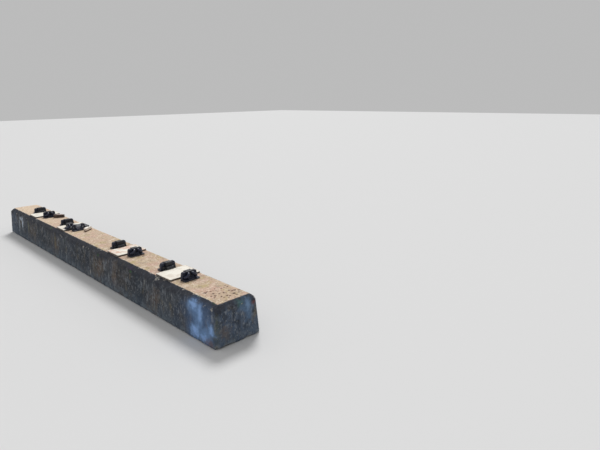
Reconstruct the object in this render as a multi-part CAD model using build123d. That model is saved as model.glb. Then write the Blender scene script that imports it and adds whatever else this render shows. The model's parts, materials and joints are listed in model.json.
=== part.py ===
"""A concrete turnout sleeper with four rail seats, each with its pad and its two parked spring clips.

Millimetres. X runs along the sleeper, Y across it, Z up, and the origin is the centre of the underside.
Each fastening is drawn once in its own axes: u outwards from the edge of the rail foot, v along the
rail and w up from the top of the concrete.
"""
import os

from build123d import *

# The sleeper
LENGTH = 3200.0
HEIGHT = 220.0
BOTTOM_WIDTH = 285.0
TOP_WIDTH = 244.0           # where the sides would meet the top if its edges weren't bevelled
TOP_BEVEL = 24.0
END_ARRIS_BEVEL = 17.0      # the four upright edges
FOOT_BEVEL = 5.0            # round the underside

# The rail seats
RAIL_CENTRES = 1507.0       # a 1435 mm track between the inner sides of two 72 mm rail heads
OUTER_SEAT = 1061.0         # centre of an outer seat from the middle of the sleeper
RAIL_FOOT = 150.0
PAD_LENGTH = 192.0          # across the sleeper
PAD_THICKNESS = 10.0
PAD_CORNER = 4.0

# The fastening
FIT = 0.2                   # between pieces that seat on each other
FOOT_GAP = 0.3              # between the rail foot and an insulator
BAR = 15.0                  # the spring steel's diameter
LEG_SPREAD = 34.0           # v of a leg of the clip
LIMB_SPREAD = 11.5          # v of a limb behind the nose
LEG_HEIGHT = 20.0
NOSE_HEIGHT = 38.0
LEG_RUN = 19.0              # the straight part of a leg
BAR_END_BEVEL = 1.5

TOE_SETBACK = 16.0          # how far a parked nose stays behind the edge of the rail foot
TOE_WALL = 3.5
TOE_FLOOR = 4.5
TOE_ROOF = 3.5
TOE_CHEEK = 2.5
TOE_BACK_GAP = 1.0          # in front of the heels
TOE_ROUND = 4.0

INSULATOR_THICKNESS = 26.5  # from the rail foot to the shoulder
INSULATOR_WIDTH = 82.0
WING_THICKNESS = 9.0        # of its wide part, which lies against the ears
NECK_WIDTH = 44.0           # of the part that reaches the rail foot
INSULATOR_BEVEL = 3.0
LUG_DEPTH = 2.0
LUG_SIZE = 10.0

EAR_DEPTH = 17.0
EAR_TOP = 46.0
EAR_WALL = 4.0
EAR_DRAFT = 2.5             # an ear's outer face leans in, by this much either way of its middle
EAR_ROUND = 9.0
FLANGE_THICKNESS = 7.0
FLANGE_DEPTH = 44.0
FLANGE_ROUND = 6.0
RAMP_WIDTH = 40.0
RAMP_DEPTH = 31.0
RAMP_HEEL = 13.0
STEM_THICKNESS = 24.0
STEM_TOP = 60.0
STEM_WAIST = 36.0
STEM_FOOT = 60.0
STEM_DEPTH = 100.0
STEM_FOOT_HEIGHT = 15.0

# The fastening that has come apart, on the near side of the third seat
LOOSE_SEAT = 3
LOOSE_CLIP_SHIFT = (-69.0, -34.0)   # u and v of the clip from where it was parked
LOOSE_CLIP_TURN = 9.0
LOOSE_INSULATOR_PLACE = (184.0, 34.0)   # X and Y from the seat's centre
LOOSE_INSULATOR_TURN = 38.0

POST_U = FOOT_GAP + INSULATOR_THICKNESS + FIT
LEG_END_U = POST_U + LUG_DEPTH + 2.0
HEEL_U = LEG_END_U + LEG_RUN
NOSE_U = TOE_SETBACK + TOE_WALL + BAR / 2 + LIMB_SPREAD
SADDLE_TOP = NOSE_HEIGHT - BAR / 2 - TOE_FLOOR - FIT
INSULATOR_HEIGHT = SADDLE_TOP - FIT
EAR_OUTER = LEG_SPREAD + BAR / 2 + FIT + EAR_WALL
EAR_INNER = LEG_SPREAD - BAR / 2 - FIT - EAR_WALL
SEATS = {1: OUTER_SEAT, 2: RAIL_CENTRES - OUTER_SEAT, 3: OUTER_SEAT - RAIL_CENTRES, 4: -OUTER_SEAT}
SIDES = {"near": 1, "far": -1}


def outline(plane, points):
    """The face inside a closed run of straight lines on a plane."""
    return plane * make_face(Polyline(*points, close=True))


def stem():
    """The shoulder's root in the concrete: it narrows to a waist and spreads into a foot."""
    foot_top = -STEM_DEPTH + STEM_FOOT_HEIGHT
    waist = foot_top + STEM_FOOT_HEIGHT
    half = [
        (STEM_TOP / 2, 0.0),
        (STEM_WAIST / 2, waist),
        (STEM_FOOT / 2, foot_top),
        (STEM_FOOT / 2, -STEM_DEPTH),
    ]
    points = half + [(-v, w) for v, w in reversed(half)]
    middle = POST_U + EAR_DEPTH
    face = outline(Plane.YZ.offset(middle - STEM_THICKNESS / 2), points)
    return extrude(face, STEM_THICKNESS)


def shoulder():
    """One casting: a front with two tunnelled ears, a ramp behind it, a flange and the stem."""
    front_face = Plane.YZ.offset(POST_U)
    valley = EAR_TOP - SADDLE_TOP
    half = [(EAR_OUTER + EAR_DRAFT, 0.0), (EAR_OUTER - EAR_DRAFT, EAR_TOP)]
    front = outline(front_face, half + [(-v, w) for v, w in reversed(half)])
    front -= front_face * Pos(0, EAR_TOP - valley / 2) * Rectangle(2 * EAR_INNER, valley)
    front = extrude(front, EAR_DEPTH)
    tops = front.edges().filter_by(Axis.X).group_by(Axis.Z)[-1]
    ends = tops.sort_by(Axis.Y)
    front = fillet([ends[0], ends[-1]], EAR_ROUND)
    tunnel = Rectangle(BAR + 2 * FIT, BAR + 2 * FIT)
    for side in (-1, 1):
        hole = front_face * Pos(side * LEG_SPREAD, LEG_HEIGHT) * tunnel
        front -= extrude(hole, EAR_DEPTH)

    back_u = POST_U + RAMP_DEPTH
    ramp = outline(
        Plane.XZ.offset(-RAMP_WIDTH / 2),
        [
            (POST_U, 0.0),
            (back_u, 0.0),
            (back_u, RAMP_HEEL),
            (POST_U + EAR_DEPTH, SADDLE_TOP),
            (POST_U, SADDLE_TOP),
        ],
    )
    ramp = extrude(ramp, RAMP_WIDTH)

    flange_width = 2 * (EAR_OUTER + EAR_DRAFT)
    flange = Pos(POST_U + FLANGE_DEPTH / 2, 0, 0) * Rectangle(FLANGE_DEPTH, flange_width)
    flange = extrude(flange, FLANGE_THICKNESS)
    back_corners = flange.edges().filter_by(Axis.Z).group_by(Axis.X)[-1]
    flange = fillet(back_corners, FLANGE_ROUND)
    return front + ramp + flange + stem()


def half_turn(start, across, radius, outwards):
    """Half a ring of bar from a point, round the middle of the way to the bar's next straight."""
    middle = Vector(*start) + Vector(*across) / 2
    pole = Vector(1, 0, 0).cross(Vector(*across)).normalized() * outwards
    section = Plane(origin=start, z_dir=(1, 0, 0)) * Circle(radius)
    return revolve(section, Axis(middle, pole), revolution_arc=180)


def straight(start, run, radius):
    section = Plane(origin=start, z_dir=(1, 0, 0)) * Circle(radius)
    return extrude(section, run)


def bar_nose(radius):
    """The two limbs and the nose that joins them."""
    start = (NOSE_U, LIMB_SPREAD, NOSE_HEIGHT)
    nose = half_turn(start, (0, -2 * LIMB_SPREAD, 0), radius, -1)
    for side in (-1, 1):
        limb = (NOSE_U, side * LIMB_SPREAD, NOSE_HEIGHT)
        nose += straight(limb, HEEL_U - NOSE_U, radius)
    return nose


def spring_clip():
    """One bent bar: leg, heel, limb, nose, and the same again on the other side."""
    clip = bar_nose(BAR / 2)
    rise = NOSE_HEIGHT - LEG_HEIGHT
    for side in (-1, 1):
        leg_back = (HEEL_U, side * LEG_SPREAD, LEG_HEIGHT)
        to_limb = (0, side * (LIMB_SPREAD - LEG_SPREAD), rise)
        clip += half_turn(leg_back, to_limb, BAR / 2, 1)
        leg = straight((LEG_END_U, side * LEG_SPREAD, LEG_HEIGHT), LEG_RUN, BAR / 2)
        end_rim = leg.faces().sort_by(Axis.X)[0].edges()
        clip += chamfer(end_rim, BAR_END_BEVEL)
    return clip


def toe_insulator():
    """The moulded cap that the clip's nose wears, open at the back where the limbs go in."""
    front = TOE_SETBACK
    back = HEEL_U - TOE_BACK_GAP
    floor = NOSE_HEIGHT - BAR / 2 - TOE_FLOOR
    roof = NOSE_HEIGHT + BAR / 2 + TOE_ROOF
    width = 2 * (LIMB_SPREAD + BAR / 2 + TOE_CHEEK)
    size = (back - front, width, roof - floor)
    cap = Pos((front + back) / 2, 0, (floor + roof) / 2) * Box(*size)
    cap = fillet(cap.edges().group_by(Axis.Z)[-1], TOE_ROUND)
    return cap - bar_nose(BAR / 2 + FIT)


def side_insulator():
    """The moulding between the rail foot and the shoulder: a neck, two wings, and a lug in each tunnel's mouth."""
    back = FOOT_GAP + INSULATOR_THICKNESS
    level = FIT + INSULATOR_HEIGHT / 2
    wings = Pos(back - WING_THICKNESS / 2, 0, level) * Box(WING_THICKNESS, INSULATOR_WIDTH, INSULATOR_HEIGHT)
    neck_run = INSULATOR_THICKNESS - WING_THICKNESS
    neck = Pos(FOOT_GAP + neck_run / 2, 0, level) * Box(neck_run, NECK_WIDTH, INSULATOR_HEIGHT)
    lead_in = neck.edges().group_by(Axis.Z)[-1].sort_by(Axis.X)[0]
    strip = wings + chamfer(lead_in, INSULATOR_BEVEL)
    reach = FIT + LUG_DEPTH
    for side in (-1, 1):
        lug = Pos(back + reach / 2, side * LEG_SPREAD, LEG_HEIGHT)
        strip += lug * Box(reach, LUG_SIZE, LUG_SIZE)
    return strip


def rail_pad():
    pad = Pos(0, 0, PAD_THICKNESS / 2) * Box(RAIL_FOOT, PAD_LENGTH, PAD_THICKNESS)
    return fillet(pad.edges().filter_by(Axis.Z), PAD_CORNER)


def fastening_place(seat, side):
    """Carries a fastening from its own axes to one side of a seat."""
    x = SEATS[seat] + SIDES[side] * RAIL_FOOT / 2
    turn = 0 if side == "near" else 180
    return Pos(x, 0, HEIGHT) * Rot(0, 0, turn)


def loose_clip_place(seat, side):
    """The sprung clip stands on its legs on the pad, turned a little, beside its shoulder."""
    shift_u, shift_v = LOOSE_CLIP_SHIFT
    drop = PAD_THICKNESS + FIT - (LEG_HEIGHT - BAR / 2)
    middle = Pos(HEEL_U, 0, 0)
    turned = middle * Rot(0, 0, LOOSE_CLIP_TURN) * Pos(-HEEL_U, 0, 0)
    return fastening_place(seat, side) * Pos(shift_u, shift_v, drop) * turned


def loose_insulator_place(seat):
    """The insulator that came out stands on the concrete, beyond the shoulder."""
    along, across = LOOSE_INSULATOR_PLACE
    centred = Pos(-FOOT_GAP - INSULATOR_THICKNESS / 2, 0, -FIT)
    return Pos(SEATS[seat] + along, across, HEIGHT) * Rot(0, 0, LOOSE_INSULATOR_TURN) * centred


def sleeper_body(places):
    """The cast block, with a socket round the stem of each shoulder."""
    section = outline(
        Plane.YZ.offset(-LENGTH / 2),
        [
            (-BOTTOM_WIDTH / 2, 0.0),
            (BOTTOM_WIDTH / 2, 0.0),
            (TOP_WIDTH / 2, HEIGHT),
            (-TOP_WIDTH / 2, HEIGHT),
        ],
    )
    body = extrude(section, LENGTH)
    uprights = body.edges().filter_by(lambda edge: edge.bounding_box().size.Z > HEIGHT / 2)
    body = chamfer(uprights, END_ARRIS_BEVEL)
    body = chamfer(body.faces().sort_by(Axis.Z)[-1].edges(), TOP_BEVEL)
    body = chamfer(body.faces().sort_by(Axis.Z)[0].edges(), FOOT_BEVEL)
    for place in places:
        body -= place * stem()
    return body


def main():
    os.makedirs("parts", exist_ok=True)
    places = {(seat, side): fastening_place(seat, side) for seat in SEATS for side in SIDES}
    nodes = {"sleeper_body": sleeper_body(places.values())}
    pad = rail_pad()
    for seat, x in SEATS.items():
        nodes[f"rail_pad_{seat}"] = Pos(x, 0, HEIGHT) * pad
    pieces = {
        "shoulder": shoulder(),
        "spring_clip": spring_clip(),
        "toe_insulator": toe_insulator(),
        "side_insulator": side_insulator(),
    }
    for (seat, side), place in places.items():
        for name, piece in pieces.items():
            here = place
            if seat == LOOSE_SEAT and side == "near":
                if name in ("spring_clip", "toe_insulator"):
                    here = loose_clip_place(seat, side)
                elif name == "side_insulator":
                    here = loose_insulator_place(seat)
            nodes[f"{name}_{seat}_{side}"] = here * piece
    for name, shape in nodes.items():
        export_step(shape, f"parts/{name}.step")
        print(f"{name}: {shape.volume / 1000:.1f} cm3")


main()
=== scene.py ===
# %% [markdown]
# # A weathered concrete sleeper
#
# The CAD model already holds every piece of this turnout sleeper at its exact size and place: one concrete
# body, four rail pads, and eight fastenings of a cast shoulder, a spring clip and two insulators each.
# This lesson dresses it. The concrete gets a worn and chipped skin of its own, and every other piece keeps
# its CAD mesh and gets a material made of nodes.

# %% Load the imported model
import json
import math
import bmesh
import bpy
import numpy as np
from mathutils import Matrix, Vector

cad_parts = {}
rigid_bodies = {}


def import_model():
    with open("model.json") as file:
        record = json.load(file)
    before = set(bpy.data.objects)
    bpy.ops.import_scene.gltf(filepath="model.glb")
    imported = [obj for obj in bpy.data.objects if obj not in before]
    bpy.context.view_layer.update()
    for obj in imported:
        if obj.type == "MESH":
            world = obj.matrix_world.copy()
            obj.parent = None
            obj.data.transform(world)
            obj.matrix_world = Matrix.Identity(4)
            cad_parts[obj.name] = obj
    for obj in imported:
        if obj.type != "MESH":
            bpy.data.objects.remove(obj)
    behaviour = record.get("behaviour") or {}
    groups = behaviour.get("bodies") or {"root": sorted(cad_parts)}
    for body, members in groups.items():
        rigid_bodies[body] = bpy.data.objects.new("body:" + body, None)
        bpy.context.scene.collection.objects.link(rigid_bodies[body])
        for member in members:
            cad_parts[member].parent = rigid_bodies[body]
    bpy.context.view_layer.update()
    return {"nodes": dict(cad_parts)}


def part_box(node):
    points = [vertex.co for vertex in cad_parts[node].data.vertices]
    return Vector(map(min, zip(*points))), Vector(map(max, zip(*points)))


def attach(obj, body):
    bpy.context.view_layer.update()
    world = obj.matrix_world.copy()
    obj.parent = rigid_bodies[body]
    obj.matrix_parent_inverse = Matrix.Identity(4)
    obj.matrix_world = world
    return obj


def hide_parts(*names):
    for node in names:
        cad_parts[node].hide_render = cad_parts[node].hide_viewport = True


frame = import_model()
nodes = frame["nodes"]
scene = bpy.context.scene
print("pieces in the frame:", len(nodes))

# %% [markdown]
# The camera stands where the photographer's did: beyond the near end, in front of the sleeper and a good
# metre up. Its place and turn were worked out from the sleeper's own edges. A camera could be aimed with a
# Track To constraint, but three angles keep the picture's small roll too, so its matrix is written out.

# %% The camera
IMAGE_WIDTH = 600
FOCAL_PIXELS = 485
SENSOR_WIDTH = 36            # millimetres, as the lens is given
YAW = 0.782871
PITCH = 0.25874
ROLL = 0.013617
EYE = Vector((3.360956, -1.335269, 1.174518))

ahead = Vector((-math.sin(YAW) * math.cos(PITCH), math.cos(YAW) * math.cos(PITCH), -math.sin(PITCH)))
level_right = Vector((math.cos(YAW), math.sin(YAW), 0))
level_down = ahead.cross(level_right)
camera_right = math.cos(ROLL) * level_right + math.sin(ROLL) * level_down
camera_up = math.sin(ROLL) * level_right - math.cos(ROLL) * level_down
lens = bpy.data.cameras.new("camera")
lens.sensor_fit = "HORIZONTAL"
lens.sensor_width = SENSOR_WIDTH
lens.lens = SENSOR_WIDTH * FOCAL_PIXELS / IMAGE_WIDTH
camera = bpy.data.objects.new("camera", lens)
scene.collection.objects.link(camera)
turn = Matrix((camera_right, camera_up, -ahead)).transposed().to_4x4()
turn.translation = EYE
camera.matrix_world = turn
scene.camera = camera
print("camera at", [round(v, 3) for v in EYE], "with a lens of", round(lens.lens, 1), "mm")

# %% [markdown]
# The light is a studio's: an even white world that fills the shade, and one broad lamp high behind the
# sleeper, on the side where the sun stood. A face that looks up then shows about the colour that its
# material is given, and the near side and end lie in soft shade, as they do outdoors.

# %% The floor and the light
FLOOR_HALF = 30.0
FLOOR_GREY = 0.72
FLOOR_ROUGHNESS = 0.9
WORLD_LEVEL = 0.5
LAMP_LEVEL = 2.0
LAMP_ANGLE = 0.35            # a broad lamp, so its shadows are soft
LAMP_RUNS = Vector((0.62, -0.62, -1.05))

floor_mesh = bpy.data.meshes.new("floor")
corners = [(x * FLOOR_HALF, y * FLOOR_HALF, 0) for x, y in ((-1, -1), (1, -1), (1, 1), (-1, 1))]
floor_mesh.from_pydata(corners, [], [(0, 1, 2, 3)])
floor = bpy.data.objects.new("floor", floor_mesh)
scene.collection.objects.link(floor)
floor_paint = bpy.data.materials.new("floor")
floor_paint.use_nodes = True
floor_shader = floor_paint.node_tree.nodes["Principled BSDF"]
floor_shader.inputs["Base Color"].default_value = (FLOOR_GREY, FLOOR_GREY, FLOOR_GREY, 1)
floor_shader.inputs["Roughness"].default_value = FLOOR_ROUGHNESS
floor_mesh.materials.append(floor_paint)

world = bpy.data.worlds.new("studio")
world.use_nodes = True
background = world.node_tree.nodes["Background"]
background.inputs["Color"].default_value = (1, 1, 1, 1)
background.inputs["Strength"].default_value = WORLD_LEVEL
scene.world = world
lamp_data = bpy.data.lights.new("key", "SUN")
lamp_data.energy = LAMP_LEVEL
lamp_data.angle = LAMP_ANGLE
lamp = bpy.data.objects.new("key", lamp_data)
lamp.rotation_euler = LAMP_RUNS.to_track_quat("-Z", "Y").to_euler()
scene.collection.objects.link(lamp)
scene.view_settings.view_transform = "Standard"
print("world level", WORLD_LEVEL, "and lamp level", LAMP_LEVEL)

# %% [markdown]
# A real sleeper is cast in a steel mould, so its faces are flat and its edges bevelled, and years outdoors
# round the edges and knock chips out of them. The CAD body has the flat faces. A sculptor would carve the
# wear by hand. Here the body is worked out again as the space inside a list of planes, because a formula
# for all its points at once is short, exact and the same at each run.

# %% The planes of the body
LENGTH = 3.2
HEIGHT = 0.22
BOTTOM_WIDTH = 0.285
TOP_WIDTH = 0.244
TOP_BEVEL = 0.024
UPRIGHT_BEVEL = 0.017
FOOT_BEVEL = 0.005
LEAN = (BOTTOM_WIDTH - TOP_WIDTH) / 2


def plane(normal, point):
    """A plane as four numbers: its unit normal, and how far along the normal it lies from the origin."""
    n = np.array(normal, float)
    n /= np.linalg.norm(n)
    return np.append(n, n @ np.array(point, float))


def bevel(a, b, setback):
    """The plane that cuts off the edge of two planes at the same setback along both.

    Its normal halves the angle between theirs. With c the cosine of that angle, it lies at the sum of
    their distances over the root of 2 + 2c, less the setback times the root of (1 - c) / 2.
    """
    c = a[:3] @ b[:3]
    n = (a[:3] + b[:3]) / math.sqrt(2 + 2 * c)
    return np.append(n, (a[3] + b[3]) / math.sqrt(2 + 2 * c) - setback * math.sqrt((1 - c) / 2))


top = plane((0, 0, 1), (0, 0, HEIGHT))
bottom = plane((0, 0, -1), (0, 0, 0))
sides = [plane((0, s * HEIGHT, LEAN), (0, s * BOTTOM_WIDTH / 2, 0)) for s in (-1, 1)]
ends = [plane((s, 0, 0), (s * LENGTH / 2, 0, 0)) for s in (-1, 1)]
walls = sides + ends + [bevel(side, end, UPRIGHT_BEVEL) for side in sides for end in ends]
planes = np.array([top, bottom] + walls + [bevel(top, wall, TOP_BEVEL) for wall in walls]
                  + [bevel(bottom, wall, FOOT_BEVEL) for wall in walls])
print("planes of the body:", len(planes))

# %% [markdown]
# Wear is uneven, so it needs noise. Blender's textures give noise to a shader, but a mesh worked out with
# numpy needs its own: a random number at every point of a lattice, blended smoothly in between.

# %% Noise for whole arrays of points


def lattice(i, j, k, seed):
    """A number from 0 to 1 for each lattice point: large primes mix its three whole numbers and the seed,
    the bits are folded over twice, and the last sixteen of them are kept."""
    h = (i * 374761393 + j * 668265263 + k * 362437 + seed * 974711) & 0xFFFFFFFF
    h = ((h ^ (h >> 13)) * 1274126177) & 0xFFFFFFFF
    return ((h ^ (h >> 16)) & 0xFFFF) / 65535


def noise(points, size, seed):
    """Smooth noise from 0 to 1 with lumps of about the given size.

    A point lies in a lattice cell at a fraction f of its three edges. Each of the cell's eight corners
    counts with the product of 3f^2 - 2f^3, or of one less that, along the three edges.
    """
    scaled = points / size
    cell = np.floor(scaled).astype(np.int64)
    f = scaled - cell
    f = f * f * (3 - 2 * f)
    total = np.zeros(points.shape[:-1])
    for corner in np.ndindex(2, 2, 2):
        share = np.prod([f[..., a] if c else 1 - f[..., a] for a, c in enumerate(corner)], axis=0)
        total += share * lattice(*np.moveaxis(cell + corner, -1, 0), seed)
    return total


print("noise at three points:", noise(np.array([[0.1, 0, 0], [0.2, 0, 0], [0.3, 0, 0]]), 0.05, 1).round(2))

# %% [markdown]
# The skin is one closed grid, like the lines on a globe. One parameter runs round the body's section and
# the other from the middle of one end face, over its rim, along the body and to the middle of the other.
# The lines lie closest where the edges are, because that is where the chips will be.

# %% The lines round the section


def run(start, stop, count):
    """Points from start up to, and without, stop, in equal steps."""
    t = np.arange(count)[:, None] / count
    return np.array(start) * (1 - t) + np.array(stop) * t


def half_width(z):
    """Half the width between the two sloping sides at height z, which changes in a straight line."""
    return (BOTTOM_WIDTH - (BOTTOM_WIDTH - TOP_WIDTH) * z / HEIGHT) / 2


SHOULDER_Z = 0.1961          # where the top bevel meets the side
FLAT_HALF = TOP_WIDTH / 2 - TOP_BEVEL
FOOT_HALF = BOTTOM_WIDTH / 2 - FOOT_BEVEL
FOOT_ZONE = 0.03             # the lines lie closer below this height,
UPPER_ZONE = 0.16            # above this one
RIM_ZONE = 0.018             # and this near to the top's edges
# each stop: its place across and up, and the number of lines from there to the next stop
right_half = [((FOOT_HALF, 0), 2), ((half_width(FOOT_BEVEL), FOOT_BEVEL), 3),
              ((half_width(FOOT_ZONE), FOOT_ZONE), 8), ((half_width(UPPER_ZONE), UPPER_ZONE), 8),
              ((half_width(SHOULDER_Z), SHOULDER_Z), 9)]
over_top = [((FLAT_HALF, HEIGHT), 5), ((FLAT_HALF - RIM_ZONE, HEIGHT), 28),
            ((RIM_ZONE - FLAT_HALF, HEIGHT), 5), ((-FLAT_HALF, HEIGHT), 9)]
down_again = [(-across, up) for (across, up), _ in reversed(right_half)]
left_half = list(zip(down_again, [8, 8, 3, 2, 7]))
stops = right_half + over_top + left_half
section = np.concatenate([run(place, stops[(i + 1) % len(stops)][0], lines)
                          for i, (place, lines) in enumerate(stops)])
print("lines round the section:", len(section))

# %% [markdown]
# Copies of the section are the rings of the grid. They grow from the middle of one end face to its rim, run
# along the body and shrink again over the other end face.

# %% The rings from end to end
half = LENGTH / 2
END_ZONE = 0.045             # rings lie closest here, beside the edges of both ends,
PITTED_ZONE = 0.3            # and half as close here, where the pits are
along = np.concatenate([np.linspace(-half, -half + END_ZONE, 15)[:-1],
                        np.linspace(-half + END_ZONE, half - PITTED_ZONE, 700)[:-1],
                        np.linspace(half - PITTED_ZONE, half - END_ZONE, 74)[:-1],
                        np.linspace(half - END_ZONE, half, 15)])
CAP_START = 0.06             # the first ring of an end face, as a share of its full size,
CAP_DENSE = 0.7              # and the one from which the rings lie closer
cap = np.concatenate([np.linspace(CAP_START, CAP_DENSE, 9)[:-1], np.linspace(CAP_DENSE, 1, 15)[:-1]])
station_x = np.concatenate([np.full(len(cap), -half), along, np.full(len(cap), half)])
station_scale = np.concatenate([cap, np.ones(len(along)), cap[::-1]])
CENTRE_Z = HEIGHT / 2
guide = np.zeros((len(station_x), len(section), 3))
guide[..., 0] = station_x[:, None]
guide[..., 1] = section[:, 0] * station_scale[:, None]
guide[..., 2] = CENTRE_Z + (section[:, 1] - CENTRE_Z) * station_scale[:, None]
print("grid of", guide.shape[0], "rings of", guide.shape[1], "points")

# %% [markdown]
# Each point of the grid looks out from a spine inside the body, and the skin lies where the first of the
# planes crosses its line of sight. A blend of the nearest two distances, instead of the smaller one, rounds
# the edge between their planes, and noise in the amount of blend makes that rounding uneven, as wear does.

# %% The worn skin
SPINE_END = 0.1              # how far the spine stops short of each end
ROUNDING = 0.0022
LEAST_ROUNDING = 0.35        # shares of it: what every edge has,
UNEVEN_ROUNDING = 2.6        # and what the product of two noises adds
BROAD_LUMPS = 0.045          # the sizes of the lumps in those noises
FINE_LUMPS = 0.011
FAR = 3.0                    # the distance given to a plane that a line of sight never meets
TINY = 1e-6                  # keeps a divisor from being nought


def skin(points):
    """The point of the worn surface in each direction, and how far it is from an edge, both in metres.

    From the spine point c a line of sight runs along the unit direction u. It crosses the plane with the
    normal n and the distance d after (d - n.c) / n.u. The surface lies at minus r times the logarithm of
    the sum of exp(-distance / r) over all planes, which is the least distance, rounded by r.
    """
    spine = np.zeros_like(points)
    spine[..., 0] = np.clip(points[..., 0], SPINE_END - half, half - SPINE_END)
    spine[..., 2] = CENTRE_Z
    sight = points - spine
    sight /= np.linalg.norm(sight, axis=-1, keepdims=True)
    toward = sight @ planes[:, :3].T
    room = planes[:, 3] - spine @ planes[:, :3].T
    distance = np.where(toward > TINY, room / np.maximum(toward, TINY), FAR)
    nearest = np.sort(distance, axis=-1)
    unevenness = UNEVEN_ROUNDING * noise(points, BROAD_LUMPS, seed=3) * noise(points, FINE_LUMPS, seed=5)
    r = (ROUNDING * (LEAST_ROUNDING + unevenness))[..., None]
    least = nearest[..., :1]
    reach = least - r * np.log(np.exp((least - distance) / r).sum(-1, keepdims=True))
    return spine + sight * reach, nearest[..., 1] - nearest[..., 0]


points, edge_distance = skin(guide)
print("skin from", points.min((0, 1)).round(4), "to", points.max((0, 1)).round(4))

# %% [markdown]
# A chip breaks out of concrete as a shallow bowl. Every point of the skin inside an imagined ball is pushed
# out to the ball's surface, further into the body, and noise in the ball's radius makes its rim ragged.

# %% A bite out of the skin
BITE_LUMPS = 0.45            # the size of the lumps in a bite's rim, as a share of its radius


def bite(centre, radius, ragged, seed):
    """Pushes the points inside a ball out along its radii, and puts out how deep each one went.

    The ball's radius is its own times 1 + ragged times the noise, which runs from -1 to 1 there.
    """
    offset = points - np.array(centre)
    length = np.linalg.norm(offset, axis=-1)
    close = length < radius * (1 + ragged)
    ball = radius * (1 + ragged * (2 * noise(points[close], radius * BITE_LUMPS, seed) - 1))
    depth = np.clip(ball - length[close], 0, None)
    points[close] += offset[close] * (depth / np.maximum(length[close], TINY))[:, None]
    moved = np.zeros(points.shape[:2])
    moved[close] = depth
    return moved


def edge_centre(x, y, z, outward, radius, depth):
    """The centre of a ball that goes the given depth into the body at an edge, from outside it."""
    out = np.array(outward, float)
    out /= np.linalg.norm(out)
    return np.array((x, y, z)) + out * (radius - depth)


trial = edge_centre(0, 0, HEIGHT, (0, 0, 1), 0.01, 0.003)
print("a ball of 10 mm that bites 3 mm into the top is centred at", trial)

# %% [markdown]
# The larger chips stand where the photograph shows them: round the near corner and the foot of the end, by
# the first seat and by the third. They are listed one by one, each with the way that it faces.

# %% Large chips
FRONT_TOP = (0, -0.7, 1)
FRONT_SHOULDER = (0, -1, 0.4)
CHIP_RAGGED = 0.3
CHIP_SEED = 20               # every bite has its own seed, so no two rims are alike
chipped = np.zeros(points.shape[:2])
# place of each chip on its edge, the way it faces, its radius and its depth
chips = [
    ((1.600, 0.066, 0.010), (1, 0.1, -0.5), 0.026, 0.007),
    ((1.600, 0.078, 0.004), (1, 0.3, -0.8), 0.020, 0.007),
    ((1.600, -0.060, 0.006), (1, 0, -0.7), 0.026, 0.007),
    ((1.600, -0.088, 0.004), (1, -0.1, -0.8), 0.030, 0.008),
    ((1.590, -0.132, 0.008), (0.8, -0.8, -0.6), 0.022, 0.006),
    ((1.528, -0.124, 0.197), (0, -1, 0.3), 0.009, 0.003),
    ((1.548, -0.124, 0.198), (0, -1, 0.3), 0.014, 0.005),
    ((1.600, 0.020, 0.196), (1, 0, 0.6), 0.016, 0.003),
    ((1.590, 0.118, 0.190), (0.8, 0.8, 0.8), 0.018, 0.005),
    ((1.012, -0.109, 0.211), (0, -1, 1), 0.014, 0.005),
    ((1.034, -0.107, 0.213), (0, -1, 1), 0.010, 0.004),
    ((0.925, -0.099, 0.220), FRONT_TOP, 0.012, 0.004),
    ((-0.365, -0.124, 0.195), (0, -1, 0.3), 0.011, 0.004),
    ((-0.345, -0.125, 0.190), (0, -1, 0.2), 0.008, 0.003),
    ((-0.400, -0.124, 0.197), FRONT_SHOULDER, 0.008, 0.003),
    ((1.000, -0.099, 0.219), FRONT_TOP, 0.016, 0.004),
    ((1.022, -0.100, 0.219), FRONT_TOP, 0.011, 0.004),
    ((1.085, -0.099, 0.219), FRONT_TOP, 0.014, 0.004),
    ((-1.600, -0.050, 0.004), (-1, 0, -0.7), 0.030, 0.008),
    ((-1.596, 0.120, 0.190), (-0.8, 0.8, 0.6), 0.022, 0.006),
]
for seed, (place, outward, radius, depth) in enumerate(chips, start=CHIP_SEED):
    chipped += bite(edge_centre(*place, outward, radius, depth), radius, CHIP_RAGGED, seed)
print("large chips", len(chips), "the deepest", round(float(chipped.max()) * 1000, 1), "mm")

# %% [markdown]
# Many small ones follow, over the six long edges in turn. Drawn sizes look more natural than equal ones, and
# a generator with a fixed seed draws the same ones at each run.

# %% Small chips
BACK_TOP = (0, 0.7, 1)
BACK_SHOULDER = (0, 1, 0.4)
FRONT_FOOT = (0, -1, -0.6)
BACK_FOOT = (0, 1, -0.6)
SCATTER_SEED = 7
draw = np.random.default_rng(SCATTER_SEED)
FOOT_Z = 0.003
edge_lines = [(FLAT_HALF, HEIGHT, BACK_TOP), (-FLAT_HALF, HEIGHT, FRONT_TOP),
              (half_width(SHOULDER_Z), SHOULDER_Z, BACK_SHOULDER),
              (-half_width(SHOULDER_Z), SHOULDER_Z, FRONT_SHOULDER),
              (BOTTOM_WIDTH / 2, FOOT_Z, BACK_FOOT), (-BOTTOM_WIDTH / 2, FOOT_Z, FRONT_FOOT)]
SMALL_CHIPS = 90
SMALL_RADII = (0.006, 0.016)
SMALL_DEPTHS = (0.12, 0.3)   # as shares of the radius
SMALL_REACH = 1.58           # how far from the middle of the sleeper they may lie
SMALL_RAGGED = 0.35
SMALL_SEED = 60
for number in range(SMALL_CHIPS):
    y, z, outward = edge_lines[number % len(edge_lines)]
    radius = draw.uniform(*SMALL_RADII)
    depth = radius * draw.uniform(*SMALL_DEPTHS)
    centre = edge_centre(draw.uniform(-SMALL_REACH, SMALL_REACH), y, z, outward, radius, depth)
    chipped += bite(centre, radius, SMALL_RAGGED, SMALL_SEED + number)
print("small chips", SMALL_CHIPS, "on", len(edge_lines), "edges")

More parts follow.
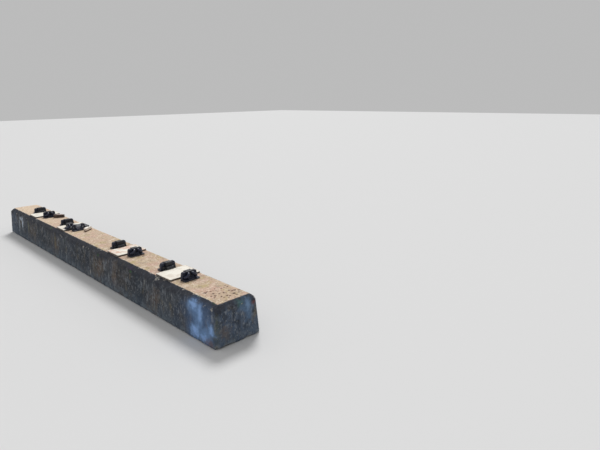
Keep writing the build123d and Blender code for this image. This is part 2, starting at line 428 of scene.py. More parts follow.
# %% [markdown]
# Near the end of the top the photograph has small dark hollows in three loose rows. They are made as pits
# of no particular form, with one more by the second seat.

# %% Pits
PITS = 38
PIT_ROWS = (1.405, 1.465, 1.515)
PIT_SCATTER = 0.011
PIT_REACH = (-0.07, 0.088)
PIT_RADII = (0.0045, 0.0085)
PIT_LIFT = 0.45              # how high a pit's centre lies above the top, as a share of its radius
PIT_RAGGED = 0.5
PIT_SEED = 200
LONE_PIT = (0.616, 0.022, HEIGHT + 0.002)
LONE_RADIUS = 0.009
LONE_SEED = 300
pitted = np.zeros(points.shape[:2])
for number in range(PITS):
    x = PIT_ROWS[number % len(PIT_ROWS)] + draw.normal(0, PIT_SCATTER)
    y = draw.uniform(*PIT_REACH)
    radius = draw.uniform(*PIT_RADII)
    pitted += bite((x, y, HEIGHT + radius * PIT_LIFT), radius, PIT_RAGGED, PIT_SEED + number)
pitted += bite(LONE_PIT, LONE_RADIUS, CHIP_RAGGED, LONE_SEED)
# nothing may reach below the floor that the sleeper stands on
points[..., 2] = np.maximum(points[..., 2], 0)
print("pits", PITS + 1, "the deepest", round(float(pitted.max()) * 1000, 1), "mm")

# %% [markdown]
# The grid becomes a mesh of four-sided faces between its rings, closed at each end by a fan of triangles.

# %% The mesh of the worn body


def ring_faces(rings, around):
    """Faces of a grid whose last column joins its first, with corners in the order that faces outwards."""
    i = np.arange(rings - 1)[:, None] * around
    j = np.arange(around)
    k = (j + 1) % around
    return np.stack([i + j, i + k, i + around + k, i + around + j], -1).reshape(-1, 4)


def end_fan(first, pole, around, flip):
    """Triangles from a ring to a pole, turned round at one of the two ends."""
    j = first + np.arange(around)
    k = first + (np.arange(around) + 1) % around
    pair = (k, j) if flip else (j, k)
    return np.stack([*pair, np.full(around, pole)], -1)


rings, around = points.shape[:2]
poles = np.array([[-half, 0, CENTRE_Z], [half, 0, CENTRE_Z]])
vertices = np.concatenate([points.reshape(-1, 3), poles])
count = rings * around
faces = ring_faces(rings, around).tolist()
faces += end_fan(0, count, around, True).tolist()
faces += end_fan(count - around, count + 1, around, False).tolist()
body_mesh = bpy.data.meshes.new("worn_concrete")
body_mesh.from_pydata(vertices.tolist(), [], faces)
body_mesh.polygons.foreach_set("use_smooth", np.ones(len(body_mesh.polygons), bool))
body_mesh.calc_loop_triangles()
print("worn body:", len(body_mesh.vertices), "points,", len(body_mesh.loop_triangles), "triangles")

# %% [markdown]
# Four values go with every point, so that the material knows where the top is, where an edge is near and
# where a chip or a pit has opened the skin. The worn body then stands for the CAD one.

# %% The values that the points carry


def point_value(mesh, name, values):
    """Writes one number per point of a mesh, with a nought for each pole."""
    attribute = mesh.attributes.new(name, "FLOAT", "POINT")
    attribute.data.foreach_set("value", np.append(values.ravel(), [0, 0]).astype(np.float32))


TOP_STARTS = HEIGHT - 0.0045
TOP_FADE = 0.003
EDGE_REACH = 0.006
FULL_DEPTH = 0.0012          # a chip or pit this deep shows in full
toward_top = np.clip((points[..., 2] - TOP_STARTS) / TOP_FADE, 0, 1)
point_value(body_mesh, "top_face", toward_top)
point_value(body_mesh, "edge_wear", np.exp(-edge_distance / EDGE_REACH))
point_value(body_mesh, "chip", np.clip(chipped / FULL_DEPTH, 0, 1))
point_value(body_mesh, "pit", np.clip(pitted / FULL_DEPTH, 0, 1))
body = bpy.data.objects.new("worn_concrete", body_mesh)
scene.collection.objects.link(body)
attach(body, "root")
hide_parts("sleeper_body")
print("values:", [a.name for a in body_mesh.attributes if a.domain == "POINT"])

# %% [markdown]
# The finishes are built from nodes alone. Painted image textures would need an unwrapped model, and would
# hold only one size of detail. A few small helpers keep the node code short: one fills a socket with either
# a plain value or another node's output, and the others add a sum, a fade or a whole new group.

# %% Helpers for node trees


def fill(tree, socket, value):
    """Links an output to a socket, or writes a plain value into it."""
    if isinstance(value, bpy.types.NodeSocket):
        tree.links.new(value, socket)
    else:
        socket.default_value = value


def calc(tree, operation, a, b=0.0, kind="ShaderNodeMath", output=0):
    """One sum on two numbers, or on two vectors where the kind of node is for those."""
    node = tree.nodes.new(kind)
    node.operation = operation
    fill(tree, node.inputs[0], a)
    fill(tree, node.inputs[1], b)
    return node.outputs[output]


def times(tree, a, b):
    """The product of two numbers."""
    return calc(tree, "MULTIPLY", a, b)


def vector_calc(tree, operation, a, b):
    """One sum on two vectors."""
    output = "Value" if operation == "LENGTH" else "Vector"
    return calc(tree, operation, a, b, "ShaderNodeVectorMath", output)


def fade(tree, value, low, high):
    """A smooth step from 0 at low to 1 at high, or the other way round where low is the larger."""
    node = tree.nodes.new("ShaderNodeMapRange")
    node.interpolation_type = "SMOOTHSTEP"
    for name, given in (("Value", value), ("From Min", low), ("From Max", high)):
        fill(tree, node.inputs[name], given)
    return node.outputs["Result"]


def new_group(name, output, **inputs):
    """A node group that puts out one number. Its inputs are given by name and first value, and a value of
    three numbers makes a vector socket."""
    tree = bpy.data.node_groups.new(name, "ShaderNodeTree")
    for title, value in inputs.items():
        kind = "NodeSocketVector" if isinstance(value, tuple) else "NodeSocketFloat"
        socket = tree.interface.new_socket(title, in_out="INPUT", socket_type=kind)
        socket.default_value = value
    tree.interface.new_socket(output, in_out="OUTPUT", socket_type="NodeSocketFloat")
    return tree, tree.nodes.new("NodeGroupInput").outputs, tree.nodes.new("NodeGroupOutput").inputs


print("helpers for node trees are ready")

# %% [markdown]
# Nearly everything that weather does to concrete, iron and plastic is a patch of another tone: a cloud of
# dirt, a bloom of rust, a streak that rain drew down a wall. One group makes them all. It stretches noise
# to draw streaks from it, and keeps only what lies over a threshold.

# %% The group for patches and streaks
patches, put, out = new_group("patches", "Mask", Vector=(0, 0, 0), Stretch=(1, 1, 1), Shift=(0, 0, 0),
                              Scale=10.0, Detail=3.0, Low=0.45, High=0.6)
place = vector_calc(patches, "MULTIPLY", put["Vector"], put["Stretch"])
cloud = patches.nodes.new("ShaderNodeTexNoise")
fill(patches, cloud.inputs["Vector"], vector_calc(patches, "ADD", place, put["Shift"]))
fill(patches, cloud.inputs["Scale"], put["Scale"])
fill(patches, cloud.inputs["Detail"], put["Detail"])
fill(patches, out["Mask"], fade(patches, cloud.outputs[0], put["Low"], put["High"]))
print("group:", patches.name)

# %% [markdown]
# Some marks stand in one place: sprayed paint, a drip, a stain. A second group draws one soft blot with a
# centre and three half sizes, and noise makes its rim ragged.

# %% The group for one blot
blot, put, out = new_group("blot", "Mask", Vector=(0, 0, 0), Centre=(0, 0, 0), Size=(0.1, 0.1, 0.1),
                           Ragged=0.4, Scale=40.0, Softness=0.5)
from_centre = vector_calc(blot, "SUBTRACT", put["Vector"], put["Centre"])
offset = vector_calc(blot, "DIVIDE", from_centre, put["Size"])
rim = blot.nodes.new("ShaderNodeTexNoise")
fill(blot, rim.inputs["Vector"], put["Vector"])
fill(blot, rim.inputs["Scale"], put["Scale"])
rim.inputs["Detail"].default_value = 4
# the noise stays near a half, so four times its distance from there runs from about -1 to 1
wobble = times(blot, calc(blot, "SUBTRACT", rim.outputs[0], 0.5), times(blot, put["Ragged"], 4.0))
distance = calc(blot, "ADD", vector_calc(blot, "LENGTH", offset, (0, 0, 0)), wobble)
fill(blot, out["Mask"], fade(blot, distance, 1.0, calc(blot, "SUBTRACT", 1.0, put["Softness"])))
print("group:", blot.name)

# %% [markdown]
# Specks are small round spots: pores in the concrete, moss, grit. Cells of a Voronoi texture give each one
# its centre and a random colour, and the colour decides which cells hold a speck and how large it is.

# %% The group for specks
specks, put, out = new_group("specks", "Mask", Vector=(0, 0, 0), Scale=100.0, Radius=0.35, Share=0.3)
cells = specks.nodes.new("ShaderNodeTexVoronoi")
fill(specks, cells.inputs["Vector"], put["Vector"])
fill(specks, cells.inputs["Scale"], put["Scale"])
channels = specks.nodes.new("ShaderNodeSeparateColor")
fill(specks, channels.inputs[0], cells.outputs["Color"])
chosen = calc(specks, "LESS_THAN", channels.outputs[0], put["Share"])
# a speck is from 0.35 to 1.35 times as large as asked for, and soft from half its radius outwards
radius = times(specks, put["Radius"], calc(specks, "ADD", channels.outputs[1], 0.35))
spot = fade(specks, cells.outputs["Distance"], radius, times(specks, radius, 0.5))
fill(specks, out["Mask"], times(specks, chosen, spot))
print("group:", specks.name)

# %% [markdown]
# Every surface has a grain, and only its size and depth differ from cast concrete to moulded plastic. The
# next group adds fine grain to broader lumps and puts out a height in metres for a Bump node.

# %% The group for grain
grain, put, out = new_group("grain", "Height", Vector=(0, 0, 0), Fine_Scale=600.0, Fine_Depth=0.0002,
                            Broad_Scale=80.0, Broad_Depth=0.0006)
heights = []
for size in ("Fine", "Broad"):
    texture = grain.nodes.new("ShaderNodeTexNoise")
    fill(grain, texture.inputs["Vector"], put["Vector"])
    fill(grain, texture.inputs["Scale"], put[size + "_Scale"])
    texture.inputs["Detail"].default_value = 3
    heights.append(times(grain, texture.outputs[0], put[size + "_Depth"]))
fill(grain, out["Height"], calc(grain, "ADD", *heights))
print("group:", grain.name)

# %% [markdown]
# Dust settles where a face looks up, and on the loose nylon blocks such a face gets a painted lighter top.
# The last group tells how far a face looks up, from the upright part of its normal, and the metals and the
# nylon both use it.

# %% The group for faces that look up


def axes(tree, vector):
    """The three numbers of a vector, each by itself."""
    node = tree.nodes.new("ShaderNodeSeparateXYZ")
    fill(tree, node.inputs[0], vector)
    return node.outputs


facing_up, put, out = new_group("facing_up", "Mask", Low=0.75, High=1.0)
normal = facing_up.nodes.new("ShaderNodeNewGeometry").outputs["Normal"]
fill(facing_up, out["Mask"], fade(facing_up, axes(facing_up, normal)[2], put["Low"], put["High"]))
print("group:", facing_up.name)

# %% [markdown]
# A finish is a base colour under many thin layers, one for each thing that has happened to the surface. A
# Mix node lays each one over the last where a mask is 1. Colours are written as a monitor shows them, and
# a shader works in linear values, so each is changed over first.

# %% Colours and layers


def colour(red, green, blue):
    """A colour as a monitor shows it, from 0 to 255, as the linear values that a shader works in."""
    shown = np.array([red, green, blue]) / 255
    linear = np.where(shown > 0.04045, ((shown + 0.055) / 1.055) ** 2.4, shown / 12.92)
    return (*[float(v) for v in linear], 1.0)


def layer(tree, under, over, mask):
    """One colour over another where the mask is 1."""
    node = tree.nodes.new("ShaderNodeMix")
    node.data_type = "RGBA"
    # the node has sockets for every kind of value, and 6 and 7 are the two for colours
    fill(tree, node.inputs[0], mask)
    fill(tree, node.inputs[6], under)
    fill(tree, node.inputs[7], over)
    return node.outputs[2]


def tint(tree, under, over, mask, strength):
    """As layer, at a share of the mask's full strength. The share is a number or another mask."""
    return layer(tree, under, over, times(tree, mask, strength))


print("mid grey in linear values:", round(colour(128, 128, 128)[0], 3))

# %% [markdown]
# The layers differ only in a few numbers, so they are written as the rows of tables. One function lays a
# whole table over a colour, the last row on top. A row of patches gives a colour, a stretch, a shift, a
# scale, a detail and the two ends of the fade. One of blots gives a colour, a centre, three half sizes, a
# raggedness, a scale and a softness, and one of specks a colour, a scale, a radius and a share of cells.
# Each ends with a strength: a number, or a mask where the layer belongs to one part of the surface only.

# %% Tables of layers
EVEN = (1, 1, 1)             # a stretch that leaves patches as wide as they are high


def use(tree, group, *values, **named):
    """Places a group and fills its inputs, in their order or by name."""
    node = tree.nodes.new("ShaderNodeGroup")
    node.node_tree = group
    for key, value in [*enumerate(values), *named.items()]:
        fill(tree, node.inputs[key], value)
    return node.outputs[0]


def layers(tree, group, where, under, rows):
    """Lays the masks of one group over a colour, a row of the table for each."""
    for shade, *values, strength in rows:
        under = tint(tree, under, shade, use(tree, group, where, *values), strength)
    return under


print("layers come from the groups", patches.name, blot.name, specks.name)

# %% [markdown]
# Every finish starts from one shader with a few plain values, and ends with grain that bumps its normal.
# All patterns read Object coordinates. Every piece has its origin at the origin of the frame, so those are
# metres from the middle of the sleeper's underside, and a mark can be put in its place by them.

# %% A finish to start from


def new_finish(name, roughness, specular):
    """A material with its node tree, its Principled BSDF and the Object coordinates."""
    material = bpy.data.materials.new(name)
    material.use_nodes = True
    tree = material.node_tree
    shader = tree.nodes["Principled BSDF"]
    shader.inputs["Roughness"].default_value = roughness
    shader.inputs["Specular IOR Level"].default_value = specular
    where = tree.nodes.new("ShaderNodeTexCoord").outputs["Object"]
    return material, tree, shader, where


def mesh_value(tree, name):
    """One of the numbers that go with the mesh's points."""
    node = tree.nodes.new("ShaderNodeAttribute")
    node.attribute_name = name
    return node.outputs["Fac"]


def relief(tree, shader, where, fine, broad, more=None):
    """Bumps the shader's normal with fine and broad grain, each a pair of a scale and a depth in metres, and
    with one more height where it is given."""
    height = use(tree, grain, where, *fine, *broad)
    if more is not None:
        height = calc(tree, "ADD", height, more)
    bump = tree.nodes.new("ShaderNodeBump")
    bump.inputs["Distance"].default_value = 1.0
    fill(tree, bump.inputs["Height"], height)
    fill(tree, shader.inputs["Normal"], bump.outputs["Normal"])


print("ready to start finishes")

# %% [markdown]
# The concrete needs the most care, and its top and walls are made apart. The top has bleached to a sandy
# beige with pink, yellow and grey patches, fine grit, pale edges and dark pits near the end. It is darker
# round each fastening, and folding x at the seats draws that eight times at once.

# %% The weathered top
PAIR_MIDDLE = 0.7535         # halfway between the two seats of one half of the sleeper
PAIR_HALF = 0.3075           # from there to either seat
GRIT_FADE = (0.53, 0.67)

concrete, tree, shader, where = new_finish("weathered_concrete", 0.88, 0.25)
x, y, z = axes(tree, where)
seat_side = calc(tree, "ABSOLUTE", calc(tree, "SUBTRACT", calc(tree, "ABSOLUTE", x), PAIR_MIDDLE))
from_seat = calc(tree, "ABSOLUTE", calc(tree, "SUBTRACT", seat_side, PAIR_HALF))
folded = tree.nodes.new("ShaderNodeCombineXYZ")
fill(tree, folded.inputs[0], from_seat)
fill(tree, folded.inputs[1], y)
by_seat = folded.outputs[0]

sand = layers(tree, patches, where, colour(198, 174, 149), [
    (colour(205, 170, 152), EVEN, (0, 0, 0), 9.0, 4.0, 0.42, 0.62, 1.0),
    (colour(190, 170, 128), EVEN, (3, 1, 0), 17.0, 5.0, 0.5, 0.68, 1.0),
    (colour(222, 205, 184), EVEN, (7, 2, 0), 22.0, 5.0, 0.52, 0.72, 1.0),
    (colour(168, 150, 132), EVEN, (1, 8, 0), 30.0, 6.0, 0.55, 0.75, 1.0),
])
sand = tint(tree, sand, colour(232, 208, 182), fade(tree, x, 0.5, -1.7), 0.8)
sand = layers(tree, patches, where, sand, [
    (colour(146, 124, 104), EVEN, (1, 1, 1), 240.0, 3.0, *GRIT_FADE, 0.5),
    (colour(240, 226, 206), EVEN, (2, 5, 1), 200.0, 3.0, *GRIT_FADE, 0.45),
    (colour(150, 130, 108), EVEN, (6, 2, 2), 80.0, 3.0, *GRIT_FADE, 0.5),
    (colour(238, 222, 202), EVEN, (3, 8, 4), 70.0, 3.0, *GRIT_FADE, 0.5),
])
sand = layers(tree, specks, where, sand, [(colour(232, 220, 204), 150.0, 0.4, 0.3, 0.5)])
# the top is darkened round each fastening
sand = layers(tree, blot, by_seat, sand, [
    (colour(150, 138, 124), (0.115, 0, 0), (0.055, 0.1, 1), 0.35, 45.0, 0.7, 0.5),
])
near_end = fade(tree, x, 1.34, 1.46)
end_specks = use(tree, specks, where, Scale=105.0, Radius=0.36, Share=0.26)
sand = tint(tree, sand, colour(150, 122, 106), end_specks, near_end)
sand = layers(tree, specks, where, sand, [(colour(126, 106, 88), 60.0, 0.22, 0.05, 1.0)])
sand = tint(tree, sand, colour(124, 96, 82), mesh_value(tree, "pit"), 0.95)
edge = mesh_value(tree, "edge_wear")
edge_part = use(tree, patches, where, Scale=25.0, Low=0.34, High=0.6)
pale_edge = fade(tree, times(tree, edge, edge_part), 0.25, 0.8)
sand = tint(tree, sand, colour(232, 222, 208), pale_edge, 0.7)
print("top finish: nodes so far", len(tree.nodes))

# %% [markdown]
# The walls have kept years of dirt, and their colour is darker and bluer still as painted shade. Brown and
# blue-grey bands run down them, the ends are bluer with painted shade, and finer blotches and streaks of
# light and dark break all of it up. A dark band hangs down from the upper edge, grime with the painted shade
# of the bevel in it, with moss under it, and splashes have paled the foot.

# %% The stained walls
# the walls' base grey and first patches are dirt, darkened and blued further as painted shade
wall = layers(tree, patches, where, colour(76, 81, 88), [
    (colour(90, 83, 77), (1, 1, 0.45), (0, 0, 0), 4.5, 3.0, 0.45, 0.62, 1.0),
    (colour(66, 74, 88), (1, 1, 0.5), (5, 5, 0), 6.0, 3.0, 0.5, 0.66, 0.8),
])
# each band is given by its middle and half its width
BROWN_BANDS = ((0.52, 0.06), (1.02, 0.07), (0.30, 0.05), (-0.48, 0.03))
BLUE_SHADE_BANDS = ((0.76, 0.26), (-0.75, 0.2), (0.02, 0.3))
wall = layers(tree, blot, where, wall, [
    (colour(106, 92, 82), (middle, -0.13, 0.09), (half_band, 0.05, 0.13), 0.4, 18.0, 0.9, 0.75)
    for middle, half_band in BROWN_BANDS])
# the blue-grey bands are dirt, and their blue is painted shade
wall = layers(tree, blot, where, wall, [
    (colour(46, 54, 64), (middle, -0.13, 0.12), (half_band, 0.06, 0.2), 0.3, 9.0, 0.95, 0.85)
    for middle, half_band in BLUE_SHADE_BANDS])
# painted shade: the ends are bluer still
wall = tint(tree, wall, colour(78, 92, 112), fade(tree, calc(tree, "ABSOLUTE", x), 1.32, 1.52), 0.8)
wall = layers(tree, patches, where, wall, [
    (colour(50, 54, 62), (1, 1, 0.8), (1, 4, 2), 26.0, 5.0, 0.46, 0.66, 0.68),
    (colour(124, 130, 138), (1, 1, 0.8), (7, 1, 5), 36.0, 5.0, 0.53, 0.69, 0.58),
    (colour(112, 104, 88), (1, 1, 0.6), (2, 9, 1), 24.0, 5.0, 0.55, 0.72, 0.6),
    (colour(42, 44, 50), (1, 1, 0.12), (3, 3, 3), 44.0, 5.0, 0.53, 0.72, 0.62),
    (colour(142, 146, 152), (1, 1, 0.14), (9, 3, 0), 60.0, 5.0, 0.57, 0.71, 0.52),
    (colour(150, 154, 156), (1, 1, 0.7), (4, 6, 8), 95.0, 5.0, 0.57, 0.67, 0.5),
    (colour(34, 38, 46), (1, 1, 0.7), (8, 2, 6), 105.0, 5.0, 0.54, 0.66, 0.58),
])
# the dark band along the upper edge is grime, with painted shade for the bevel that it covers
GRIME_AND_SHADE_DROP = 0.045           # how far the grime's lower rim wanders
grime_and_shade_rim = use(tree, patches, where, Stretch=(1, 1, 0.4), Scale=20.0, Detail=5.0, Low=0.3, High=0.7)
ragged_z = calc(tree, "ADD", z, times(tree, grime_and_shade_rim, GRIME_AND_SHADE_DROP))
wall = tint(tree, wall, colour(52, 54, 62), fade(tree, ragged_z, 0.19, 0.228), 0.85)
wall = tint(tree, wall, colour(98, 116, 134), fade(tree, z, 0.1, 0.025), 0.22)
wall = layers(tree, specks, where, wall, [(colour(66, 92, 62), 13.0, 0.2, 0.3, fade(tree, z, 0.15, 0.18))])
splashes = use(tree, patches, where, Scale=30.0, Detail=5.0, Low=0.47, High=0.58)
wall = tint(tree, wall, colour(108, 118, 128), fade(tree, z, 0.055, 0.01), times(tree, splashes, 0.75))
pores = use(tree, specks, where, Scale=90.0, Radius=0.2, Share=0.14)
wall = layer(tree, wall, colour(50, 50, 54), pores)
wall = layers(tree, specks, where, wall, [(colour(150, 148, 142), 120.0, 0.24, 0.1, 0.7)])
print("wall finish: nodes so far", len(tree.nodes))

# %% [markdown]
# Marks that somebody or something left in one place are listed with a colour, a centre, three half sizes, a
# raggedness and a strength. The sprayed marks of the yard are kept only as soft blots without any form.

# %% Marks in their places
SPRAY = colour(112, 144, 186)
SPRAY_CORE = colour(150, 186, 238)
PALE_SPRAY = colour(184, 196, 210)
END_SPRAY = colour(92, 118, 148)
marks = [
    (colour(80, 112, 156), (1.440, -0.130, 0.105), (0.190, 0.05, 0.190), 0.30, 0.56),
    (SPRAY, (1.404, -0.126, 0.160), (0.095, 0.05, 0.064), 0.30, 0.90),
    (SPRAY, (1.450, -0.131, 0.112), (0.056, 0.05, 0.084), 0.30, 0.88),
    (SPRAY, (1.424, -0.137, 0.050), (0.080, 0.05, 0.060), 0.30, 0.98),
    (SPRAY, (1.500, -0.139, 0.046), (0.072, 0.05, 0.056), 0.35, 0.90),
    (SPRAY, (1.548, -0.134, 0.085), (0.052, 0.05, 0.060), 0.30, 0.90),
    (SPRAY_CORE, (1.400, -0.126, 0.176), (0.048, 0.05, 0.034), 0.50, 0.85),
    (SPRAY_CORE, (1.455, -0.129, 0.150), (0.026, 0.05, 0.066), 0.40, 0.70),
    (SPRAY_CORE, (1.414, -0.138, 0.044), (0.050, 0.05, 0.050), 0.40, 0.95),
    (SPRAY_CORE, (1.496, -0.139, 0.034), (0.040, 0.05, 0.032), 0.50, 0.80),
    (SPRAY_CORE, (1.554, -0.134, 0.090), (0.026, 0.05, 0.036), 0.40, 0.80),
    (END_SPRAY, (1.600, 0.050, 0.185), (0.05, 0.062, 0.056), 0.40, 0.80),
    (END_SPRAY, (1.600, 0.062, 0.130), (0.05, 0.040, 0.075), 0.40, 0.65),
    (colour(128, 156, 190), (1.600, 0.060, 0.180), (0.05, 0.022, 0.046), 0.50, 0.60),
    (colour(76, 110, 108), (1.590, 0.015, 0.200), (0.05, 0.034, 0.028), 0.40, 0.60),
    (colour(110, 66, 60), (1.600, 0.097, 0.180), (0.05, 0.022, 0.018), 0.40, 0.75),
    (colour(104, 92, 82), (1.600, -0.085, 0.078), (0.05, 0.044, 0.060), 0.50, 0.55),
    (colour(94, 100, 84), (1.592, -0.134, 0.110), (0.030, 0.03, 0.110), 0.45, 0.60),
    (colour(116, 96, 102), (1.540, -0.138, 0.020), (0.060, 0.05, 0.032), 0.40, 0.60),
    (PALE_SPRAY, (-1.262, -0.130, 0.138), (0.030, 0.05, 0.074), 0.40, 0.95),
    (PALE_SPRAY, (-1.310, -0.126, 0.172), (0.060, 0.05, 0.026), 0.40, 0.75),
    (PALE_SPRAY, (-1.345, -0.130, 0.110), (0.034, 0.05, 0.070), 0.60, 0.35),
    (colour(104, 104, 80), (-1.105, -0.130, 0.130), (0.034, 0.05, 0.080), 0.40, 0.65),
    (colour(112, 104, 78), (-0.490, -0.130, 0.130), (0.026, 0.05, 0.080), 0.40, 0.55),
    (colour(196, 192, 186), (0.157, -0.138, 0.042), (0.0050, 0.03, 0.034), 0.15, 0.95),
    (colour(66, 100, 62), (0.284, -0.125, 0.188), (0.020, 0.03, 0.011), 0.40, 0.80),
    (colour(60, 104, 58), (0.736, -0.125, 0.186), (0.018, 0.03, 0.012), 0.40, 0.80),
    (colour(74, 62, 88), (0.720, -0.115, 0.205), (0.060, 0.04, 0.014), 0.40, 0.50),
]
RIM_LUMPS = 2.2              # the scale of the noise in a mark's rim, times its middle half size
MARK_SOFTNESS = 0.95
wall = layers(tree, blot, where, wall, [
    (shade, centre, half_size, ragged, RIM_LUMPS / sorted(half_size)[1], MARK_SOFTNESS, strength)
    for shade, centre, half_size, ragged, strength in marks])
print("marks", len(marks), "and nodes so far", len(tree.nodes))

# %% [markdown]
# Last, the top and the walls are joined by the masks that the mesh carries. The rim of the top towards the
# front and the near end has the walls' colour as painted shade, since the light comes from behind. Chips
# show pale broken concrete, except low down, where dirt has filled them again.

# %% Rims, chips and pores
SHADE_RIM_WANDER = 0.003
worn_part = use(tree, patches, where, Scale=30.0, Detail=4.0, Low=0.48, High=0.7)
wear = fade(tree, times(tree, edge, worn_part), 0.3, 0.9)
wall = tint(tree, wall, colour(124, 122, 118), wear, 0.3)
# painted shade: the rim of the top at the front and the near end keeps the walls' colour
shade_rim_noise = use(tree, patches, where, Scale=70.0, Detail=3.0, Low=0.3, High=0.7)
shade_rim_shift = times(tree, shade_rim_noise, SHADE_RIM_WANDER)
front_unshaded = fade(tree, calc(tree, "ADD", y, shade_rim_shift), -0.0965, -0.0915)
end_unshaded = fade(tree, calc(tree, "ADD", x, shade_rim_shift), 1.574, 1.566)
rims_unshaded = times(tree, front_unshaded, end_unshaded)
skin_colour = tint(tree, wall, sand, mesh_value(tree, "top_face"), rims_unshaded)
broken_part = use(tree, patches, where, Scale=140.0, Detail=2.0, Low=0.45, High=0.6)
broken = layer(tree, colour(208, 204, 196), colour(128, 122, 116), broken_part)
broken = tint(tree, broken, colour(96, 102, 106), fade(tree, z, 0.05, 0.02), 0.75)
skin_colour = tint(tree, skin_colour, broken, mesh_value(tree, "chip"), 0.85)
fill(tree, shader.inputs["Base Color"], skin_colour)
PORE_DEPTH = 0.0015
END_SPECK_DEPTH = 0.001
hollows = calc(tree, "ADD", times(tree, pores, -PORE_DEPTH),
               times(tree, end_specks, times(tree, near_end, -END_SPECK_DEPTH)))
relief(tree, shader, where, (420.0, 0.0012), (60.0, 0.0015), more=hollows)
body_mesh.materials.append(concrete)
print("concrete: nodes", len(tree.nodes))

# %% [markdown]
# The rail pads are moulded plastic, off-white when new. Dust from the concrete has crept over them, most of
# all at their edges and on the second seat, whose pad has gone pinkish. Their side faces are darkened as
# painted shade, and most of the third pad is dark blue-grey as painted shade.

# %% The rail pads
pad_finish, tree, shader, where = new_finish("pad_plastic", 0.6, 0.35)
x, y, z = axes(tree, where)
second_seat = times(tree, fade(tree, x, 0.3, 0.36), fade(tree, x, 0.7, 0.6))
dirt_strength = calc(tree, "ADD", times(tree, second_seat, 0.85), 0.08)
rim_dust = fade(tree, calc(tree, "ABSOLUTE", y), 0.086, 0.098)
pad_colour = layers(tree, patches, where, colour(246, 242, 230), [
    (colour(228, 220, 206), EVEN, (0, 0, 0), 28.0, 5.0, 0.45, 0.65, 1.0),
    (colour(222, 180, 158), EVEN, (2, 6, 0), 24.0, 5.0, 0.4, 0.62, dirt_strength),
    (colour(186, 166, 146), EVEN, (4, 4, 0), 60.0, 4.0, 0.42, 0.6, rim_dust),
])
# painted shade: the side faces below each pad's top are darkened
pad_colour = tint(tree, pad_colour, colour(72, 66, 64), fade(tree, z, 0.2296, 0.2278), 0.92)
# painted shade: a dark blue-grey patch over most of the third pad
pad_colour = layers(tree, blot, where, pad_colour, [
    (colour(50, 57, 70), (-0.400, 0.020, 0.230), (0.098, 0.106, 0.05), 0.12, 34.0, 0.12, 0.93),
])
pad_colour = layers(tree, specks, where, pad_colour, [(colour(120, 104, 88), 160.0, 0.25, 0.07, 1.0)])
fill(tree, shader.inputs["Base Color"], pad_colour)
relief(tree, shader, where, (900.0, 0.0002), (45.0, 0.0012))
print("pad finish: nodes", len(tree.nodes))

# %% [markdown]
# The shoulders are cast iron and the clips are spring steel, both dipped in a dark coating. Its colour is
# blue-black, and the blue in it is painted shade. On the casting it is matt and grainy. On the drawn bar it
# is smooth and catches the light. Rust shows where the coating has worn, and pale dust lies on whatever
# faces up.

# %% The coated iron and steel


def coated_metal(name, base, rust_share, roughness, fine, broad, dust_strength):
    """A dark coating with rust where noise passes a threshold, and dust on faces whose normal points up.
    Both of them are duller than the coating."""
    material, tree, shader, where = new_finish(name, roughness, 0.5)
    lighter = tuple(min(1, v * 1.7) for v in base[:3]) + (1,)
    tone = layers(tree, patches, where, base, [(lighter, EVEN, (0, 0, 0), 70.0, 4.0, 0.45, 0.65, 1.0)])
    rust = use(tree, patches, where, Shift=(2, 2, 2), Scale=95.0, Detail=6.0, Low=1 - rust_share,
               High=1.08 - rust_share)
    tone = tint(tree, tone, colour(96, 62, 44), rust, 0.8)
    dusty = use(tree, patches, where, Shift=(6, 1, 3), Scale=120.0, Detail=4.0, Low=0.4, High=0.65)
    dust = times(tree, use(tree, facing_up, Low=0.75, High=1.0), dusty)
    tone = tint(tree, tone, colour(140, 134, 128), dust, dust_strength)
    fill(tree, shader.inputs["Base Color"], tone)
    duller = times(tree, calc(tree, "MAXIMUM", rust, dust), 0.25)
    fill(tree, shader.inputs["Roughness"], calc(tree, "ADD", roughness, duller))
    relief(tree, shader, where, fine, broad)
    print(name, "nodes", len(tree.nodes))
    return material


# painted shade: the blue in both coating colours
iron_finish = coated_metal("cast_iron", colour(30, 36, 54), rust_share=0.36, roughness=0.55,
                           fine=(700.0, 0.0006), broad=(120.0, 0.0014), dust_strength=0.2)
steel_finish = coated_metal("spring_steel", colour(28, 35, 56), rust_share=0.34, roughness=0.32,
                            fine=(500.0, 0.0001), broad=(90.0, 0.0003), dust_strength=0.1)

# %% [markdown]
# The insulators are moulded nylon. The caps on the noses are black, and the blocks between rail and shoulder
# are a dark blue-grey where they are still in place, which is partly painted shade. Two lie loose. One is
# nearly white, and its foot is brown as painted shade. The other is brown all over. Both have a painted
# lighter top.

# %% The nylon pieces
# the brown foot of a loose block is painted shade, and this is how far its upper edge fades
SHADED_FOOT_RIM = 0.004             # how far the soil's edge fades


def nylon(name, base, soiled, soil_low, shaded_foot_line=0.0, lit_top=None):
    """A moulded colour with soil over it where noise passes a threshold. A loose piece gets painted shade,
    brown up to a line at a height above the floor, and a painted lighter top where it looks up."""
    material, tree, shader, where = new_finish(name, 0.5, 0.4)
    tone = layers(tree, patches, where, base, [
        (soiled, EVEN, (0, 0, 0), 55.0, 5.0, soil_low, soil_low + 0.2, 1.0)])
    tone = layers(tree, specks, where, tone, [(colour(140, 126, 110), 260.0, 0.3, 0.15, 0.6)])
    if shaded_foot_line:
        # painted shade: brown up to the foot line; painted light: a lighter top where a face looks up
        shaded_foot = fade(tree, axes(tree, where)[2], shaded_foot_line, shaded_foot_line - SHADED_FOOT_RIM)
        tone = layer(tree, tone, colour(92, 64, 52), shaded_foot)
        tone = layer(tree, tone, lit_top, use(tree, facing_up, Low=0.4, High=0.9))
    fill(tree, shader.inputs["Base Color"], tone)
    relief(tree, shader, where, (1200.0, 0.00015), (150.0, 0.0004))
    print(name, "nodes", len(tree.nodes))
    return material


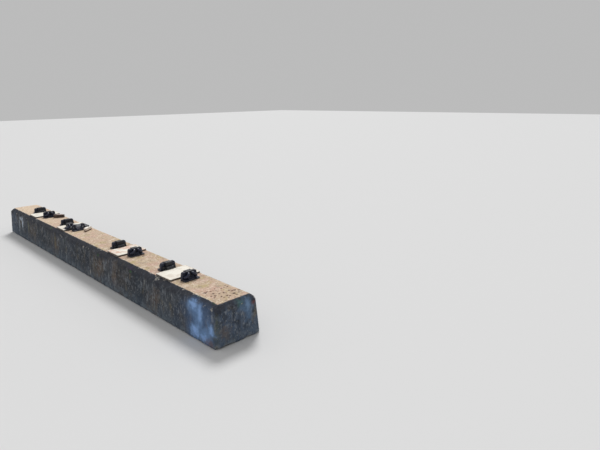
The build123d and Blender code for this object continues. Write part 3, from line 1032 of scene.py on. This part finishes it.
cap_finish = nylon("black_nylon", colour(32, 34, 42), colour(60, 57, 58), 0.54)
# the mounted blocks' dark blue-grey is partly painted shade
block_finish_with_shade = nylon("grey_nylon_with_shade", colour(40, 44, 52), colour(64, 62, 62), 0.54)
# both loose blocks get a painted lighter top and a painted shaded foot
pale_finish_lit_top = nylon("pale_nylon_lit_top", colour(240, 232, 220), colour(130, 104, 90), 0.52,
                        shaded_foot_line=0.231, lit_top=colour(248, 243, 234))
soiled_finish_lit_top = nylon("soiled_nylon_lit_top", colour(78, 62, 54), colour(48, 38, 36), 0.45,
                      shaded_foot_line=0.222, lit_top=colour(190, 170, 164))

# %% [markdown]
# The CAD pieces keep their meshes, and only their materials change. A piece's name begins with its kind, so
# one small table gives every piece its finish. The loose block by the third seat gets the pale one, with its
# painted lighter top and shaded foot.

# %% Every CAD piece gets its finish
LOOSE_BLOCK = "side_insulator_3_near"
finishes = {"rail_pad": pad_finish, "shoulder": iron_finish, "spring_clip": steel_finish,
            "toe_insulator": cap_finish, "side_insulator": block_finish_with_shade}
dressed = 0
for name, piece in nodes.items():
    for kind, finish in finishes.items():
        if name.startswith(kind):
            piece.data.materials.clear()
            piece.data.materials.append(pale_finish_lit_top if name == LOOSE_BLOCK else finish)
            dressed += 1
print("CAD pieces dressed:", dressed, "of", len(nodes))

# %% [markdown]
# A second block lies beyond the fourth seat, browner than the first. It is the same moulding, so its mesh
# is a copy of the first one's, with its doubled points merged, turned and moved to its own place.

# %% The second loose block
SECOND_PLACE = Vector((-0.862, 0.048, 0))
SECOND_TURN = math.radians(-68)
MERGE_DISTANCE = 0.00001
low, high = (Vector(corner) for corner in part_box(LOOSE_BLOCK))
first_place = (low + high) / 2
first_place.z = 0
shape = bmesh.new()
shape.from_mesh(nodes[LOOSE_BLOCK].data)
bmesh.ops.remove_doubles(shape, verts=shape.verts, dist=MERGE_DISTANCE)
carry = Matrix.Translation(SECOND_PLACE) @ Matrix.Rotation(SECOND_TURN, 4, "Z")
shape.transform(carry @ Matrix.Translation(-first_place))
block_points = [point.co[:] for point in shape.verts]
block_faces = [[point.index for point in face.verts] for face in shape.faces]
shape.free()
second_mesh = bpy.data.meshes.new("loose_block_4")
second_mesh.from_pydata(block_points, [], block_faces)
second_mesh.materials.append(soiled_finish_lit_top)
second_block = bpy.data.objects.new("loose_block_4", second_mesh)
scene.collection.objects.link(second_block)
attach(second_block, "root")
print("second loose block:", len(second_mesh.vertices), "points")
